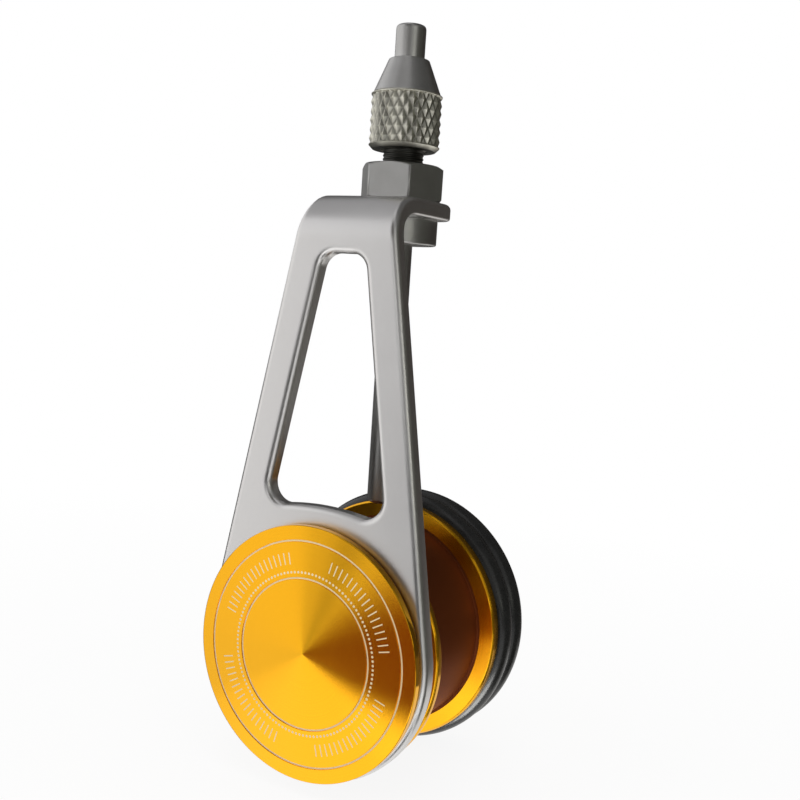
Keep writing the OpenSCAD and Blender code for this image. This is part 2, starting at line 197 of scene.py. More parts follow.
card_middle = np.array((0, 7.3, 30))
card_reach = 1500
card_steps = 9


def studio_card(name, left, right, low, high, colour, nearer=0, clear=False, only=None):
    """A curved card that only mirrored rays see. Its sides are directions from the tool in degrees:
    left and right are counted from the front round to the right, low and high from level upwards.
    nearer, in millimetres, brings it in front of other cards, and a clear card adds its light to theirs.
    only, if given, is the collection of the pieces that the card lights."""
    around, rise = np.meshgrid(np.radians(np.linspace(left, right, card_steps)),
                               np.radians(np.linspace(low, high, card_steps)))
    way = np.stack([np.sin(around) * np.cos(rise), -np.cos(around) * np.cos(rise), np.sin(rise)], axis=-1)
    points = card_middle + way.reshape(-1, 3) * (card_reach - nearer)
    card, tree = studio_sheet(name, points.tolist(), grid(card_steps, card_steps)[0].tolist())
    mirrored_only(card)
    glow = add_node(tree, "ShaderNodeEmission", {"Color": (*colour, 1), "Strength": 1.0})
    if clear:
        see_through = add_node(tree, "ShaderNodeBsdfTransparent")
        glow = add_node(tree, "ShaderNodeAddShader", {0: see_through.outputs[0], 1: glow.outputs[0]})
    feed(tree, tree.nodes["Material Output"], {"Surface": glow.outputs[0]})
    if only is not None:
        card.light_linking.receiver_collection = only


gold_group = bpy.data.collections.new("anodised pieces")
studio_card("front dark card", -19, 34, -29.5, -2, (0.17, 0.035, 0.03), only=gold_group)

# Each row is a name, the left, right, low and high sides, the colour, and how much nearer the card is.
shared_cards = (
    ("front middle card", 4, 45, -2, 12, (0.35, 0.35, 0.35), 0),
    ("front grey card", 2, 76, 12, 42, (0.46, 0.46, 0.45), 0),
    ("side window", 50, 70, 3, 12, (1.6, 1.62, 1.45), 0),
    ("side card", 45, 76, -12, 12, (0.1, 0.1, 0.09), -20),
    ("front shade", -24, 34, 16, 50, (0.03, 0.025, 0.02), 20),
    ("left low card", -118, -75, -45, 4, (0.08, 0.08, 0.08), 0),
    ("right card", 76, 130, -50, 42, (0.08, 0.08, 0.07), 0),
    ("rear card", 130, 205, -8, 42, (0.055, 0.05, 0.046), 0),
    ("rear low card", 158, 205, -22, -8, (0.33, 0.31, 0.3), 0),
    ("right rear low card", 130, 158, -22, -8, (0.13, 0.12, 0.11), 0),
    ("rear floor card", 130, 205, -55, -22, (0.85, 0.84, 0.82), 0),
    ("left rear card", -155, -118, -45, 42, (0.05, 0.05, 0.05), 0),
    ("left front card", -26, -19, -20, 12, (0.34, 0.34, 0.35), 0),
    ("left middle card", -34, -26, -20, 12, (0.62, 0.62, 0.63), 0),
    ("left card", -62, -34, -20, 12, (1.03, 1.02, 1.02), 0),
    ("left upper card", -118, 2, 12, 24, (0.95, 0.95, 0.96), 0),
    ("left high card", -118, 2, 24, 42, (0.88, 0.88, 0.9), 0),
    ("left ceiling", -155, -45, 42, 89, (0.36, 0.36, 0.37), 0),
    ("front ceiling", -45, 40, 42, 89, (0.6, 0.6, 0.61), 0),
    ("right ceiling", 40, 205, 42, 89, (0.1, 0.1, 0.1), 0),
    ("table glow", -60, -12, -60, -29.5, (1.3, 1.3, 1.3), 0),
    ("right table glow", -12, 60, -50, -29.5, (1.7, 1.7, 1.7), 0),
)
for card_row in shared_cards:
    studio_card(*card_row)

# A small dark flag beside the arm, which shades the far lip as seen through the window.
flag_y = 2.7
flag_left = -45
flag_right = -13.5
flag_top = 30
flag_colour = (0.03, 0.02, 0.015, 1)
flag_corners = [(flag_left, flag_y, 0), (flag_right, flag_y, 0),
                (flag_right, flag_y, flag_top), (flag_left, flag_y, flag_top)]
flag, flag_tree = studio_sheet("side flag", flag_corners, [(0, 1, 2, 3)])
mirrored_only(flag)
feed(flag_tree, flag_tree.nodes["Principled BSDF"], {"Base Color": flag_colour})


def soft_lamp(name, place, aim, width, power):
    """A square lamp that faces a point. Places are in millimetres, the power is in watts."""
    data = bpy.data.lights.new(name, "AREA")
    data.size = width * MM
    data.energy = power
    lamp = bpy.data.objects.new(name, data)
    lamp.location = Vector(place) * MM
    lamp.rotation_euler = (Vector(aim) - Vector(place)).to_track_quat("-Z", "Y").to_euler()
    lamp.visible_camera = False
    lamp.visible_glossy = False
    bpy.context.scene.collection.objects.link(lamp)


tool_middle = (0, 12, 32)
lamp_power = 0.35
soft_lamp("left lamp", place=(-330, -260, 300), aim=tool_middle, width=260, power=lamp_power)
soft_lamp("top lamp", place=(60, -120, 520), aim=tool_middle, width=300, power=lamp_power)


# The arm: one plate of satin steel, cut out with its window, tumbled until its edges are round,
# and bent over at the top into a tab. It carries everything else.
plate_t = 2.2
plate_front_r = 0.8
plate_back_r = 0.35
plate_guard = 0.2
drill_edge_r = 0.15
arm_front = 1.6
arm_end_r = 16.75
arm_taper = math.radians(10.25)
strip_w = 4.75
window_low = 18.1
window_high = 50.6
window_low_r = 2.6
window_high_r = 2.4
window_arch_r = 37
bend_r = 6
tab_lift = math.radians(2.5)
tab_z = 58.7
tab_overhang = 4
tab_corner_r = 3.2
nozzle_y = 14.8
boss_hole_r = 4.55
key_pin_hole_r = 0.77
key_pin_circle = 6.2
nozzle_hole_r = 3.1
bend_middle_r = bend_r - plate_t / 2
bend_angle = math.pi / 2 - tab_lift
bend_y = arm_front + bend_r
bend_z = tab_z - (bend_r + (nozzle_y - bend_y) * math.sin(tab_lift)) / math.cos(tab_lift)
tab_start_z = bend_z + (bend_r - plate_t) * math.cos(tab_lift)
tab_start_run = bend_z + bend_angle * bend_middle_r
nozzle_run = tab_start_run + (nozzle_y - bend_y) / math.cos(tab_lift) + bend_r * math.tan(tab_lift)
tab_end_run = nozzle_run + tab_overhang

# How finely the plate's curves are drawn, and the points that let its two faces follow the bend.
side_steps = 100
end_steps = 120
corner_steps = 14
arch_steps = 24
hole_steps = 48
edge_steps = 8
fill_below = 0.6
fill_above = 0.8
fill_step = 0.45
fill_half = 5
fill_columns = 9
fill_tolerance = 1e-5
merge_gap = 0.0005


def arm_half(z):
    """Half the arm's width at a height: its side edges touch the round lower end."""
    return arm_end_r / math.cos(arm_taper) - z * math.tan(arm_taper)


def folded(x, run, height):
    """Places on the bent plate: straight up the arm to the bend, round its arc, then along the tab.
    run is the length along the middle of the sheet, and height is out of that middle to the front."""
    angle = np.clip((run - bend_z) / bend_middle_r, 0, bend_angle)
    straight = run - bend_z - angle * bend_middle_r
    radius = bend_middle_r + height
    y = bend_y - radius * np.cos(angle) + straight * np.sin(angle)
    z = bend_z + radius * np.sin(angle) + straight * np.cos(angle)
    return np.stack([x + 0 * z, y, z], axis=-1)


def arc(centre, radius, start, end, steps):
    """Points on a circle about a centre, from one angle to another, in radians."""
    angle = np.linspace(start, end, steps + 1)
    return np.asarray(centre) + radius * np.stack([np.cos(angle), np.sin(angle)], axis=-1)


def flip_x(points):
    """The same points with X turned round, in the opposite order."""
    return points[::-1] * (-1, 1)


def plate_loop():
    """The sheet's outer edge: the round end, up the right side, round the tab's corners and down the left."""
    run = np.linspace(arm_end_r * math.sin(arm_taper), tab_end_run - tab_corner_r, side_steps)[1:-1]
    bend = np.clip((run - bend_z) / bend_middle_r, 0, bend_angle)
    height = np.where(run < bend_z, run, bend_z + bend_middle_r * np.sin(bend))
    side = np.stack([arm_half(np.minimum(height, tab_start_z)), run], axis=-1)
    corner = (arm_half(tab_start_z) - tab_corner_r, tab_end_run - tab_corner_r)
    right = np.concatenate([side, arc(corner, tab_corner_r, 0, math.pi / 2, corner_steps)])
    end = arc((0, 0), arm_end_r, math.pi - arm_taper, 2 * math.pi + arm_taper, end_steps)
    return np.concatenate([end, right, flip_x(right)])


def window_loop():
    """The window's edge: round corners that touch the leaning sides, and a lower edge that is an arch."""
    inner = (arm_half(0) - strip_w) * math.cos(arm_taper)

    def corner(radius, z):
        return ((inner - radius - z * math.sin(arm_taper)) / math.cos(arm_taper), z)

    low = corner(window_low_r, window_low + window_low_r)
    high = corner(window_high_r, window_high - window_high_r)
    right = np.concatenate([arc(low, window_low_r, -math.pi / 2, arm_taper, corner_steps),
                            arc(high, window_high_r, arm_taper, math.pi / 2, corner_steps)])
    half_arch = math.asin(low[0] / window_arch_r)
    arch_centre = (0, window_low - window_arch_r * math.cos(half_arch))
    arch = arc(arch_centre, window_arch_r, math.pi / 2 + half_arch, math.pi / 2 - half_arch, arch_steps)
    return np.concatenate([right, flip_x(right), arch[1:-1]])


def hole_loop(x, run, radius):
    """The edge of a drilled hole."""
    return arc((x, run), radius, 0, 2 * math.pi, hole_steps)[:-1]


def add_piece(name, body, points, faces, places=None):
    """Makes a closed mesh of points in millimetres and lists of corners, and lets it ride on a body.
    Doubled points are merged and faces turned outwards. places, if given, becomes the UV map."""
    mesh = bpy.data.meshes.new(name)
    mesh.from_pydata((points * MM).tolist(), [], faces)
    if places is not None:
        mesh.uv_layers.new(name="grid").data.foreach_set("uv", places.astype(np.float32).ravel())
    work = bmesh.new()
    work.from_mesh(mesh)
    bmesh.ops.remove_doubles(work, verts=work.verts, dist=merge_gap * MM)
    bmesh.ops.recalc_face_normals(work, faces=work.faces)
    work.to_mesh(mesh)
    work.free()
    mesh.shade_smooth()
    piece = bpy.data.objects.new(name, mesh)
    bpy.context.scene.collection.objects.link(piece)
    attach(piece, body)
    return piece


def enclosed(points, loop):
    """Tells which points lie inside a loop: a line from such a point to the right crosses the loop
    an odd number of times."""
    start, end = loop, np.roll(loop, -1, axis=0)
    x, y = points[:, :1], points[:, 1:]
    spans = (start[:, 1] > y) != (end[:, 1] > y)
    rise = np.where(start[:, 1] == end[:, 1], 1, end[:, 1] - start[:, 1])
    crossing = start[:, 0] + (y - start[:, 1]) / rise * (end[:, 0] - start[:, 0])
    return (spans & (crossing > x)).sum(axis=1) % 2 == 1


def sheet_with_round_edges(loops):
    """The plate as one closed surface. Each loop's edge is a grid of rows: from the front face's rim,
    round to the middle of the edge and round again to the back. The two faces fill what the rims enclose.
    Loops are (points, front edge radius, back edge radius, is a hole). Their points are places across
    and along the sheet."""
    turn = np.linspace(0, math.pi / 2, edge_steps)
    points, faces, rims, rim_edges = [], [], [], []
    used = rim_used = 0
    for loop, front_r, back_r, is_hole in loops:
        along = np.roll(loop, -1, axis=0) - np.roll(loop, 1, axis=0)
        out = np.stack([along[:, 1], -along[:, 0]], axis=-1)
        out *= (-1 if is_hole else 1) / np.linalg.norm(out, axis=1, keepdims=True)
        inset = np.concatenate([[front_r + plate_guard], front_r * (1 - np.sin(turn)),
                                back_r * (1 - np.sin(turn[::-1])), [back_r + plate_guard]])
        height = plate_t / 2 - np.concatenate([[0], front_r * (1 - np.cos(turn)),
                                               plate_t - back_r * (1 - np.cos(turn[::-1])), [plate_t]])
        rows = loop[None] - out[None] * inset[:, None, None]
        points.append(folded(rows[..., 0], rows[..., 1], height[:, None]).reshape(-1, 3))
        faces.append(grid(len(inset), len(loop), columns_closed=True)[0] + used)
        used += inset.size * len(loop)
        rims.append(rows[[0, -1]])
        index = np.arange(len(loop))
        rim_edges.append(np.stack([index, np.roll(index, -1)], axis=-1) + rim_used)
        rim_used += len(loop)
    fill_run = np.arange(bend_z - fill_below, tab_start_run + fill_above, fill_step)
    fill_x = np.linspace(-fill_half, fill_half, fill_columns)
    inner = np.stack(np.meshgrid(fill_x, fill_run), axis=-1).reshape(-1, 2)
    edges = np.concatenate(rim_edges).tolist()
    faces = [f.tolist() for f in np.concatenate(faces)]
    for side, height in ((0, plate_t / 2), (1, -plate_t / 2)):
        flat = np.concatenate([rim[side] for rim in rims] + [inner])
        filled = delaunay_2d_cdt([Vector(p) for p in flat.tolist()], edges, [], 1, fill_tolerance)
        flat = np.array([p[:] for p in filled[0]])
        corners = np.array(filled[2])
        for rim, (_, _, _, is_hole) in zip(rims, loops):
            if is_hole:
                corners = corners[~enclosed(flat[corners].mean(axis=1), rim[side])]
        points.append(folded(flat[:, 0], flat[:, 1], np.full(len(flat), height)))
        faces += (corners + used).tolist()
        used += len(flat)
    return np.concatenate(points), faces


arm_points, arm_faces = sheet_with_round_edges([
    (plate_loop(), plate_front_r, plate_back_r, False),
    (window_loop(), plate_front_r, plate_back_r, True),
    (hole_loop(0, 0, boss_hole_r), drill_edge_r, drill_edge_r, True),
    (hole_loop(-key_pin_circle, 0, key_pin_hole_r), drill_edge_r, drill_edge_r, True),
    (hole_loop(key_pin_circle, 0, key_pin_hole_r), drill_edge_r, drill_edge_r, True),
    (hole_loop(0, nozzle_run, nozzle_hole_r), drill_edge_r, drill_edge_r, True),
])
arm = add_piece("arm", "frame", arm_points, arm_faces)
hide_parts("frame_arm")


def new_material(name, **constants):
    """A material whose Principled shader has these inputs set, and its node tree and shader."""
    material = bpy.data.materials.new(name)
    material.use_nodes = True
    shader = material.node_tree.nodes["Principled BSDF"]
    for key, value in constants.items():
        shader.inputs[key.replace("_", " ").title()].default_value = value
    return material, material.node_tree, shader


def noise(tree, place, scale, detail=2.0):
    """Cloudy noise from 0 to 1 at a place, with so many clouds to the metre."""
    inputs = {"Vector": place, "Scale": scale, "Detail": detail}
    return add_node(tree, "ShaderNodeTexNoise", inputs).outputs["Fac"]


def mixed(tree, share, first, second):
    """The colour that lies a share of the way from one colour to another."""
    inputs = {"Factor": share, 6: first, 7: second}
    return add_node(tree, "ShaderNodeMix", inputs, data_type="RGBA").outputs[2]


def bump(tree, height, strength, distance):
    """A normal tipped by a height, which is worth so many metres."""
    inputs = {"Height": height, "Strength": strength, "Distance": distance}
    return add_node(tree, "ShaderNodeBump", inputs).outputs[0]


satin_dark = (0.70, 0.685, 0.67, 1)
satin_pale = (0.78, 0.77, 0.755, 1)
satin_rough = (0.28, 0.38)
satin_clouds = 160
satin_grains = 5200
satin_grain_strength = 0.12
satin_grain_depth = 0.05
satin_steel, satin_tree, satin_shader = new_material("satin steel", metallic=1.0)
satin_place = object_place(satin_tree)
satin_cloud = noise(satin_tree, satin_place, satin_clouds, detail=4.0)
satin_grain = noise(satin_tree, satin_place, satin_grains, detail=3.0)
feed(satin_tree, satin_shader, {
    "Base Color": mixed(satin_tree, satin_cloud, satin_dark, satin_pale),
    "Roughness": mapped(satin_tree, satin_cloud, *satin_rough),
    "Normal": bump(satin_tree, satin_grain, satin_grain_strength, satin_grain_depth * MM),
})
arm.data.materials.append(satin_steel)


# The drag knob: a turned aluminium disc, anodised orange, with two engraved circles, a row of dots and ticks.
# A boss behind it runs in the arm's hole and holds the axle's thread.
def on_axle(radius, along, angle):
    """Points about the axle's line, which is the Y axis."""
    return np.stack([radius * np.cos(angle), along + 0 * angle, radius * np.sin(angle)], axis=-1)


def eased(corners, ease, closed=True, steps=4, guard=1.7):
    """A profile whose corners are eased by parabolas, which start and end at a distance from the corner.
    A guard point beyond each end keeps the flat beside it flat. An open profile keeps its two end points."""
    corners = np.asarray(corners, float)
    reach = np.broadcast_to(np.asarray(ease, float), len(corners))[:, None]
    back = np.roll(corners, 1, axis=0) - corners
    on = np.roll(corners, -1, axis=0) - corners
    back = back / np.linalg.norm(back, axis=1, keepdims=True) * reach
    on = on / np.linalg.norm(on, axis=1, keepdims=True) * reach
    t = np.linspace(0, 1, steps + 1)[None, :, None]
    curve = corners[:, None] + (1 - t) ** 2 * back[:, None] + t ** 2 * on[:, None]
    rows = np.concatenate([(corners + guard * back)[:, None], curve, (corners + guard * on)[:, None]], axis=1)
    if closed:
        return rows.reshape(-1, 2)
    return np.concatenate([corners[:1], rows[1:-1].reshape(-1, 2), corners[-1:]])


def turned(name, body, profiles, place, steps=224, closed=True, relief=None):
    """One or more profiles of (radius, distance along the axis) points carried round an axis.
    relief, if given, changes the radius at each angle and profile point. An open profile ends on the axis."""
    angle = np.linspace(0, 2 * math.pi, steps, endpoint=False)[None]
    points, faces, places = [], [], []
    used = 0
    for profile in profiles:
        radius = profile[:, :1] + 0 * angle
        if relief is not None:
            radius = relief(radius, profile[:, 1:], angle)
        shell_faces, shell_places = grid(len(profile), steps, rows_closed=closed, columns_closed=True)
        points.append(place(radius, profile[:, 1:], angle).reshape(-1, 3))
        faces.append(shell_faces + used)
        places.append(shell_places)
        used += radius.size
    corners = np.concatenate(faces).tolist()
    return add_piece(name, body, np.concatenate(points), corners, np.concatenate(places))


knob_r = 16.3
knob_t = 1.2
knob_edge = 0.25
knob_ease = 0.06
knob_round = 0.14
boss_r = 4.5
boss_end = 3.7
boss_bore_r = 2.53
knob_skin = 0.6
outer_circle_r = 14.35
inner_circle_r = 9.6
engraving_w = 0.3
engraving_depth = 0.1
engraving_ease = 0.025


def engraving(radius):
    """The four profile corners of one engraved circle."""
    low, high = radius - engraving_w / 2, radius + engraving_w / 2
    return [(low, 0), (low, engraving_depth), (high, engraving_depth), (high, 0)]


knob_profile = [(0, 0), *engraving(inner_circle_r), *engraving(outer_circle_r), (knob_r, 0),
                (knob_r, knob_t - knob_edge), (knob_r - knob_edge, knob_t), (boss_r, knob_t),
                (boss_r, boss_end), (boss_bore_r, boss_end), (boss_bore_r, knob_skin), (0, knob_skin)]
knob_eases = [0] + [engraving_ease] * 8 + [knob_round] + [knob_ease] * 6 + [0]
knob_shape = eased(knob_profile, knob_eases, closed=False, steps=7, guard=1.2)
knob = turned("knob", "knob", [knob_shape], on_axle, closed=False)
gold_group.objects.link(knob)
face_group = bpy.data.collections.new("knob face")
face_group.objects.link(knob)
studio_card("face window", -34, -19, -20, 12, (0.12, 0.12, 0.12), nearer=30, clear=True, only=face_group)
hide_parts("drag_knob")

# Turning marks: fine rings about the Z axis of a place, whose spacing follows the radius and the height.
turning_marks = bpy.data.node_groups.new("turning marks", "ShaderNodeTree")
turning_marks.interface.new_socket("Place", in_out="INPUT", socket_type="NodeSocketVector")
turning_marks.interface.new_socket("Marks per metre", in_out="INPUT", socket_type="NodeSocketFloat")
turning_marks.interface.new_socket("Marks", in_out="OUTPUT", socket_type="NodeSocketFloat")
turning_marks.interface.new_socket("Radius", in_out="OUTPUT", socket_type="NodeSocketFloat")
marks_in = add_node(turning_marks, "NodeGroupInput").outputs
marks_axes = add_node(turning_marks, "ShaderNodeSeparateXYZ", {0: marks_in["Place"]}).outputs
marks_flat = add_node(turning_marks, "ShaderNodeCombineXYZ", {"X": marks_axes["X"], "Y": marks_axes["Y"]})
marks_length = add_node(turning_marks, "ShaderNodeVectorMath", {0: marks_flat.outputs[0]}, operation="LENGTH")
marks_radius = marks_length.outputs["Value"]
marks_walk = math_node(turning_marks, "ADD", marks_radius, marks_axes["Z"])
marks_inputs = {"W": marks_walk, "Scale": marks_in["Marks per metre"], "Detail": 3.0, "Roughness": 0.6}
marks_noise = add_node(turning_marks, "ShaderNodeTexNoise", marks_inputs, noise_dimensions="1D")
marks_out = {"Marks": marks_noise.outputs["Fac"], "Radius": marks_radius}
add_node(turning_marks, "NodeGroupOutput", marks_out)


def turning(tree, place, marks_per_metre):
    """The outputs of the turning marks at a place: Marks from 0 to 1, and Radius in metres."""
    inputs = {"Place": place, "Marks per metre": marks_per_metre}
    return add_node(tree, "ShaderNodeGroup", inputs, node_tree=turning_marks).outputs


def axle_place(tree):
    """The place on a piece, turned so that Z runs along the axle."""
    inputs = {"Vector": object_place(tree), "Rotation": (math.pi / 2, 0, 0)}
    return add_node(tree, "ShaderNodeMapping", inputs).outputs[0]


orange_deep = (0.93, 0.42, 0.012, 1)
orange_bright = (1.0, 0.52, 0.02, 1)
orange_rough = (0.16, 0.24)
orange_marks = 9000
groove_lean = math.tan(math.radians(10))
groove_depth = 0.003


def anodised_aluminium(name):
    """Orange anodised metal with turning grooves. Their flanks lean outwards, so a flat face shades like a
    shallow cone, and highlights spread across the grooves. Returns the material, its tree and shader,
    and the sockets of its colour, roughness, place and radius."""
    material, tree, shader = new_material(name, metallic=1.0, anisotropic=0.8, anisotropic_rotation=0.25)
    place = axle_place(tree)
    marks = turning(tree, place, orange_marks)
    colour = mixed(tree, marks["Marks"], orange_deep, orange_bright)
    rough = mapped(tree, marks["Marks"], *orange_rough)
    lean = math_node(tree, "MULTIPLY", marks["Radius"], -groove_lean)
    height = math_node(tree, "MULTIPLY_ADD", marks["Marks"], groove_depth * MM, lean)
    tangent = add_node(tree, "ShaderNodeTangent", direction_type="UV_MAP", uv_map="grid")
    feed(tree, shader, {"Base Color": colour, "Roughness": rough, "Tangent": tangent.outputs[0],
                        "Normal": bump(tree, height, 1.0, 1.0)})
    return material, tree, shader, (colour, rough, place, marks["Radius"])


def near(tree, value, target, half):
    """1 where a value in metres lies within half of a target, both in millimetres, and 0 elsewhere."""
    return math_node(tree, "COMPARE", value, target * MM, half * MM)


# The marks on the knob's face are pale and dull, where the orange skin is cut away:
# two circles, a ring of dots, and ticks in four groups.
dot_ring_r = 10.35
dot_count = 120
dot_r = 0.16
tick_middle_r = 12.1
tick_half = 0.75
tick_count = 96
tick_w = 0.16
tick_groups = 4
tick_group_share = 0.34
tick_group_turn = 0.125
mark_w = 0.2
mark_reach = 0.2
mark_colour = (0.95, 0.78, 0.5, 1)
mark_rough = 0.3
mark_metal = -0.7
side_polish = -0.12
knob_paint, knob_tree, knob_shader, knob_looks = anodised_aluminium("marked orange aluminium")
knob_colour, knob_rough, knob_place, knob_radius = knob_looks
knob_axes = add_node(knob_tree, "ShaderNodeSeparateXYZ", {0: knob_place}).outputs


def knob_math(operation, *values):
    """A Math node's result in the knob's material."""
    return math_node(knob_tree, operation, *values)


knob_angle = knob_math("ARCTAN2", knob_axes["Y"], knob_axes["X"])
knob_turns = knob_math("DIVIDE", knob_angle, 2 * math.pi)


def share_from_mark(count, turn=0.0):
    """How far each place on the knob is from the nearest of so many evenly spaced rays, as a share of a turn.
    turn moves all the rays round by a share of a turn."""
    shift = count * (1 + turn) + 0.5
    step = knob_math("FRACT", knob_math("MULTIPLY_ADD", knob_turns, count, shift))
    return knob_math("DIVIDE", knob_math("ABSOLUTE", knob_math("SUBTRACT", step, 0.5)), count)


def across_from_mark(count):
    """The same distance, measured along the circle through the place, in metres."""
    return knob_math("MULTIPLY", knob_math("MULTIPLY", share_from_mark(count), 2 * math.pi), knob_radius)


inner_circle = near(knob_tree, knob_radius, inner_circle_r, mark_w / 2)
outer_circle = near(knob_tree, knob_radius, outer_circle_r, mark_w / 2)
circles = knob_math("MAXIMUM", inner_circle, outer_circle)
dot_across = across_from_mark(dot_count)
dot_out = knob_math("SUBTRACT", knob_radius, dot_ring_r * MM)
dot_squares = knob_math("ADD", knob_math("MULTIPLY", dot_across, dot_across),
                        knob_math("MULTIPLY", dot_out, dot_out))
dots = knob_math("LESS_THAN", knob_math("SQRT", dot_squares), dot_r * MM)
tick_ring = near(knob_tree, knob_radius, tick_middle_r, tick_half)
tick_rays = knob_math("LESS_THAN", across_from_mark(tick_count), tick_w / 2 * MM)
tick_group_far = share_from_mark(tick_groups, tick_group_turn)
tick_place = knob_math("LESS_THAN", tick_group_far, tick_group_share / tick_groups)
ticks = knob_math("MULTIPLY", knob_math("MULTIPLY", tick_ring, tick_rays), tick_place)
marked = knob_math("MAXIMUM", knob_math("MAXIMUM", circles, dots), ticks)
knob_front = knob_math("LESS_THAN", knob_math("ABSOLUTE", knob_axes["Z"]), mark_reach * MM)
marked_front = knob_math("MULTIPLY", marked, knob_front)
knob_side = knob_math("GREATER_THAN", knob_radius, (knob_r - knob_round / 2) * MM)
side_rough = knob_math("MULTIPLY_ADD", knob_side, side_polish, knob_rough)
feed(knob_tree, knob_shader, {
    "Base Color": mixed(knob_tree, marked_front, knob_colour, mark_colour),
    "Roughness": knob_math("MULTIPLY_ADD", marked_front, mark_rough, side_rough),
    "Metallic": knob_math("MULTIPLY_ADD", marked_front, mark_metal, 1.0),
})
knob.data.materials.append(knob_paint)


# The bobbin: a turned and anodised spool. The line winds on its drum between the near flange and the far lip,
# and a channel behind the lip holds the two grip rings. It turns on bushes pressed into its bore.
near_front = 5.3
near_flange_r = 16.5
groove_front = 6.5
groove_back = 21.0
drum_r = 14.4
far_lip_r = 17
channel_front = 22.5
channel_r = 14.58
channel_back = 29.8
rear_lip_r = 16.6
bobbin_back = 31.0
rear_recess_r = 5.6
rear_seat = 24.34
bush_bore_r = 3.52
front_seat = 6.0
front_recess_r = 5.1
flange_edge = 0.25
flange_ease = 0.08
drum_fillet = 0.25
drum_corners = slice(5, 7)
bobbin_profile = [
    (front_recess_r, near_front), (near_flange_r - flange_edge, near_front),
    (near_flange_r, near_front + flange_edge), (near_flange_r, groove_front - flange_edge),
    (near_flange_r - flange_edge, groove_front), (drum_r, groove_front), (drum_r, groove_back),
    (far_lip_r - flange_edge, groove_back), (far_lip_r, groove_back + flange_edge),
    (far_lip_r, channel_front), (channel_r, channel_front), (channel_r, channel_back),
    (rear_lip_r, channel_back), (rear_lip_r, bobbin_back - flange_edge),
    (rear_lip_r - flange_edge, bobbin_back), (rear_recess_r, bobbin_back), (rear_recess_r, rear_seat),
    (bush_bore_r, rear_seat), (bush_bore_r, front_seat), (front_recess_r, front_seat)]
bobbin_eases = np.full(len(bobbin_profile), flange_ease)
bobbin_eases[drum_corners] = drum_fillet
bobbin = turned("bobbin_spool", "bobbin", [eased(bobbin_profile, bobbin_eases)], on_axle)
gold_group.objects.link(bobbin)
spool_group = bpy.data.collections.new("spool")
spool_group.objects.link(bobbin)
studio_card("lip window", -15, 34, -29.5, -18.5, (1.0, 1.0, 1.0), nearer=30, clear=True, only=spool_group)
studio_card("lip glow", -19, 34, -18.5, 4, (0.14, 0.07, 0.05), nearer=30, clear=True, only=spool_group)
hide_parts("bobbin")


def between(tree, value, low, high):
    """1 where a value in metres lies between two places in millimetres, and 0 elsewhere."""
    return near(tree, value, (low + high) / 2, (high - low) / 2)


# Painted shade: the drum between the near flange and the far lip is coloured dark red-brown and made rougher.
drum_band = 0.45
drum_shade_colour = (0.25, 0.068, 0.022, 1)
drum_rough = 0.35
bobbin_paint, bobbin_tree, bobbin_shader, bobbin_looks = anodised_aluminium("orange aluminium")
bobbin_colour, bobbin_rough, bobbin_place, bobbin_radius = bobbin_looks
bobbin_along = add_node(bobbin_tree, "ShaderNodeSeparateXYZ", {0: bobbin_place}).outputs["Z"]
drum_span = between(bobbin_tree, math_node(bobbin_tree, "ABSOLUTE", bobbin_along), groove_front, groove_back)
drum_wall = near(bobbin_tree, bobbin_radius, drum_r, drum_band)
drum_shade_mask = math_node(bobbin_tree, "MULTIPLY", drum_wall, drum_span)
feed(bobbin_tree, bobbin_shader, {
    "Base Color": mixed(bobbin_tree, drum_shade_mask, bobbin_colour, drum_shade_colour),
    "Roughness": math_node(bobbin_tree, "MULTIPLY_ADD", drum_shade_mask, drum_rough, bobbin_rough),
})
bobbin.data.materials.append(bobbin_paint)


# The grip rings: two black rubber rings in the channel behind the far lip, where a thumb brakes the bobbin.
# Each is a plain round cord, moulded in halves.
ring_cord_r = 1.75
ring_middle_r = 16.35
ring_places = {"grip_ring_front": 24.35, "grip_ring_rear": 27.95}
cord_steps = 40
rubber_dark = (0.006, 0.006, 0.006, 1)
rubber_pale = (0.016, 0.016, 0.015, 1)
rubber_rough = (0.2, 0.34)
rubber_clouds = 900
rubber_strength = 0.1
rubber_depth = 0.05
rubber, rubber_tree, rubber_shader = new_material("black rubber")
rubber_cloud = noise(rubber_tree, object_place(rubber_tree), rubber_clouds, detail=4.0)
feed(rubber_tree, rubber_shader, {
    "Base Color": mixed(rubber_tree, rubber_cloud, rubber_dark, rubber_pale),
    "Roughness": mapped(rubber_tree, rubber_cloud, *rubber_rough),
    "Normal": bump(rubber_tree, rubber_cloud, rubber_strength, rubber_depth * MM),
})
ring_group = bpy.data.collections.new("rings")
studio_card("low window", 15, 62, -72, -42, (14, 14, 13.6), nearer=20, only=ring_group)
for node, ring_y in ring_places.items():
    cord = arc((ring_middle_r, ring_y), ring_cord_r, 0, 2 * math.pi, cord_steps)[:-1]
    ring = turned(node + "_rubber", "bobbin", [cord], on_axle)
    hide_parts(node)
    ring.data.materials.append(rubber)
    ring_group.objects.link(ring)


# The nozzle's sleeve: turned steel, threaded, with a round collar that seats under the tab.
# Its thread shows between the two nuts.
collar_r = 5.2
collar_low = -5.6
shank_r = 3.0
tube_bore_fit_r = 2.04
bore_margin = 0.1
hex_h = 4.8
neck_r = 2.75
neck_gap = 0.02
neck_row_count = 60
neck_step = 0.1
grip_low = 6.8
grip_top = 14.15
grip_r = 4.75
knurl_depth = 0.4
sleeve_top = 12.1
thread_pitch = 0.5
thread_depth = 0.16
sleeve_lower_eases = [0.2, 0.3, 0.15, 0.1, 0.05, 0.05, 0.05]
sleeve_upper_eases = [0.04, 0.04, 0.04, 0.15, 0.15, 0.15]


